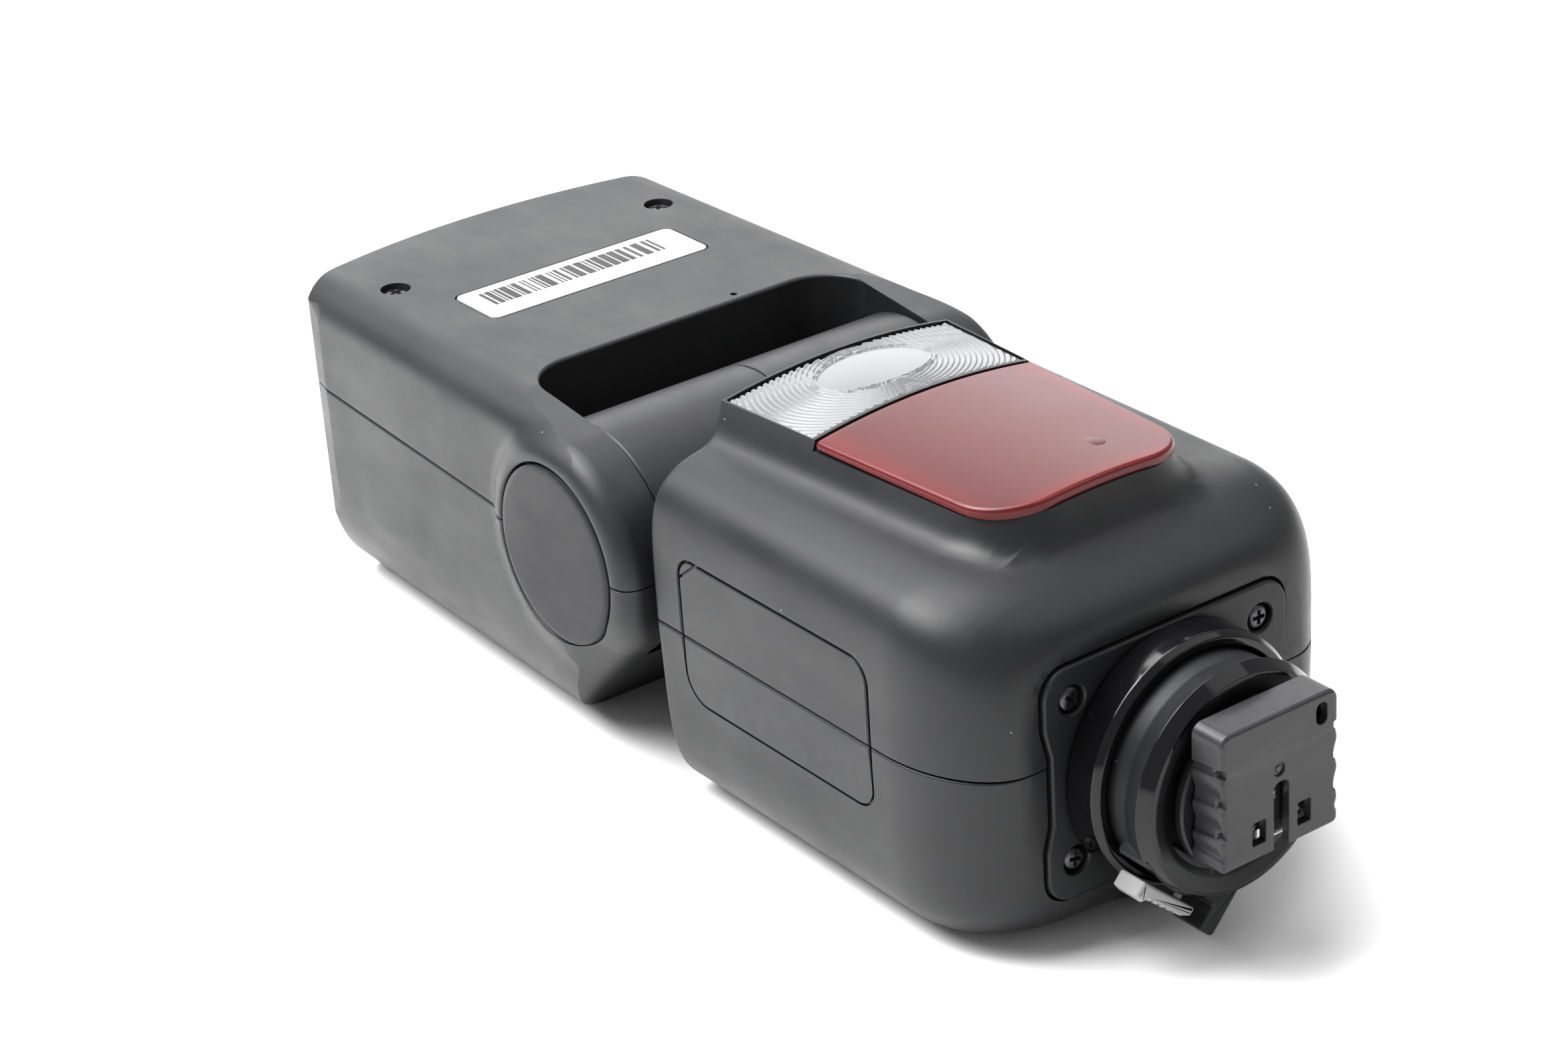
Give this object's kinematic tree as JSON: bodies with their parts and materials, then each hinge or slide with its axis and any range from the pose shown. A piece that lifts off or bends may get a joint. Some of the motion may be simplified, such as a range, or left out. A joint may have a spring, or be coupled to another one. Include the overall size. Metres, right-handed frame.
{
  "type": "speedlight flash",
  "caption": "Camera-top speedlight flash lying on its back: tilt and swivel head with zoom reflector, windowed front, side battery, rear screen and keys, lever-locked shoe foot with cap.",
  "frame": {"origin": "middle of the bounding box at its base, where the flash lies on its back", "axes": "+X the battery side, +Y from the shoe foot to the flash window, +Z the front of the flash"},
  "size_m": [0.0754, 0.1876, 0.06],
  "materials": {
    "satin": "satin black",
    "fine": "fine textured black",
    "gloss": "polished black",
    "rubber": "matte",
    "grey": "light grey",
    "steel": "brushed",
    "dark_steel": "black zinc",
    "gold": "gold plated",
    "mirror": "bright anodised",
    "board": "solder mask",
    "white": "satin white",
    "red": "dark red translucent",
    "clear": "clear",
    "screen": "dark clear",
    "sleeve": "shrink sleeve",
    "label": "printed"
  },
  "bodies": {
    "body": {"front_cover": "satin", "rear_cover": "satin", "bottom_plate": "fine", "bottom_screw_1": "dark_steel", "bottom_screw_2": "dark_steel", "bottom_screw_3": "dark_steel", "bottom_screw_4": "dark_steel", "bezel_ring": "gloss", "red_window": "red", "modelling_lens": "clear", "modelling_led": "white", "assist_lamp": "fine", "main_board": "board", "main_capacitor": "sleeve", "screen_module": "steel", "screen_window": "screen", "usb_socket": "steel", "foot_plate": "steel", "foot_stem": "fine", "contact_block": "gold"},
    "battery_pack": {"battery": "fine"},
    "battery_latch": {"battery_latch": "satin"},
    "neck": {"neck_half_left": "satin", "neck_half_right": "satin", "swivel_tube": "steel", "tilt_axle": "steel"},
    "head": {"head_lower_cover": "satin", "head_upper_cover": "satin", "lead_screw": "steel", "hinge_cap_left": "satin", "hinge_cap_right": "satin", "head_screw_1": "dark_steel", "head_screw_2": "dark_steel", "serial_label": "label", "flash_window": "clear", "guide_rod_left": "steel", "guide_rod_right": "steel", "zoom_motor": "steel", "trigger_board": "board"},
    "wide_panel": {"wide_panel": "clear"},
    "bounce_card": {"bounce_card": "white"},
    "zoom_unit": {"reflector": "mirror", "flash_tube": "clear", "zoom_carriage": "fine"},
    "foot_cap": {"foot_cap": "satin"},
    "lock_ring": {"lock_ring": "fine"},
    "release_tab": {"release_tab": "grey"},
    "locking_pin": {"locking_pin": "steel"},
    "port_flap": {"port_flap": "rubber"},
    "power_switch": {"power_switch": "satin"},
    "select_dial": {"select_dial": "fine"},
    "set_button": {"set_button": "satin"},
    "soft_key_1": {"soft_key_1": "rubber"},
    "soft_key_2": {"soft_key_2": "rubber"},
    "soft_key_3": {"soft_key_3": "rubber"},
    "soft_key_4": {"soft_key_4": "rubber"},
    "mode_button": {"mode_button": "rubber"},
    "lamp_button": {"lamp_button": "rubber"},
    "test_button": {"test_button": "rubber"},
    "wireless_button": {"wireless_button": "rubber"}
  },
  "joints": [
    {"name": "head_swivel", "type": "hinge", "parent": "body", "child": "neck", "pos_m": [0, -0.004, 0.0329], "axis": [0, 1, 0], "range_deg": [-150, 180]},
    {"name": "head_tilt", "type": "hinge", "parent": "neck", "child": "head", "pos_m": [0, 0.0158, 0.0329], "axis": [1, 0, 0], "range_deg": [-30, 90]},
    {"name": "wide_panel_slide", "type": "slide", "parent": "head", "child": "wide_panel", "axis": [0, 1, 0], "range_m": [0, 0.038]},
    {"name": "bounce_card_slide", "type": "slide", "parent": "head", "child": "bounce_card", "axis": [0, 1, 0], "range_m": [0, 0.038]},
    {"name": "zoom_travel", "type": "slide", "parent": "head", "child": "zoom_unit", "axis": [0, -1, 0], "range_m": [0, 0.012]},
    {"name": "foot_cap_slide", "type": "slide", "parent": "body", "child": "foot_cap", "axis": [0, 0, 1], "range_m": [0, 0.022]},
    {"name": "lock_ring_turn", "type": "hinge", "parent": "body", "child": "lock_ring", "pos_m": [0, -0.0838, 0.0249], "axis": [0, -1, 0], "range_deg": [0, 50]},
    {"name": "release_tab_press", "type": "slide", "parent": "lock_ring", "child": "release_tab", "axis": [0.667, 0, 0.745], "range_m": [0, 0.0012], "stiffness_N_per_m": 400},
    {"name": "locking_pin_travel", "type": "slide", "parent": "body", "child": "locking_pin", "axis": [0, -1, 0], "range_m": [0, 0.0013]},
    {"name": "battery_slide", "type": "slide", "parent": "body", "child": "battery_pack", "axis": [1, 0, 0], "range_m": [0, 0.058]},
    {"name": "battery_latch_slide", "type": "slide", "parent": "battery_pack", "child": "battery_latch", "axis": [0, -1, 0], "range_m": [0, 0.002], "stiffness_N_per_m": 300},
    {"name": "port_flap_hinge", "type": "hinge", "parent": "body", "child": "port_flap", "pos_m": [0.0327, -0.0258, 0.0146], "axis": [0, -1, 0], "range_deg": [0, 100]},
    {"name": "power_switch_slide", "type": "slide", "parent": "body", "child": "power_switch", "axis": [1, 0, 0], "range_m": [0, 0.0035]},
    {"name": "dial_turn", "type": "hinge", "parent": "body", "child": "select_dial", "pos_m": [0, -0.0538, 0.001], "axis": [0, 0, 1], "continuous": true},
    {"name": "set_press", "type": "slide", "parent": "body", "child": "set_button", "axis": [0, 0, 1], "range_m": [0, 0.0006], "stiffness_N_per_m": 600},
    {"name": "soft_key_1_press", "type": "slide", "parent": "body", "child": "soft_key_1", "axis": [0, 0, 1], "range_m": [0, 0.0006], "stiffness_N_per_m": 600},
    {"name": "soft_key_2_press", "type": "slide", "parent": "body", "child": "soft_key_2", "axis": [0, 0, 1], "range_m": [0, 0.0006], "stiffness_N_per_m": 600},
    {"name": "soft_key_3_press", "type": "slide", "parent": "body", "child": "soft_key_3", "axis": [0, 0, 1], "range_m": [0, 0.0006], "stiffness_N_per_m": 600},
    {"name": "soft_key_4_press", "type": "slide", "parent": "body", "child": "soft_key_4", "axis": [0, 0, 1], "range_m": [0, 0.0006], "stiffness_N_per_m": 600},
    {"name": "mode_button_press", "type": "slide", "parent": "body", "child": "mode_button", "axis": [0, 0, 1], "range_m": [0, 0.0006], "stiffness_N_per_m": 600},
    {"name": "lamp_button_press", "type": "slide", "parent": "body", "child": "lamp_button", "axis": [0, 0, 1], "range_m": [0, 0.0006], "stiffness_N_per_m": 600},
    {"name": "test_button_press", "type": "slide", "parent": "body", "child": "test_button", "axis": [0, 0, 1], "range_m": [0, 0.0006], "stiffness_N_per_m": 600},
    {"name": "wireless_button_press", "type": "slide", "parent": "body", "child": "wireless_button", "axis": [0, 0, 1], "range_m": [0, 0.0006], "stiffness_N_per_m": 600}
  ],
  "couplings": [
    {"joint": "locking_pin_travel", "follows": "lock_ring_turn", "m_per_rad": 0.00149}
  ]
}
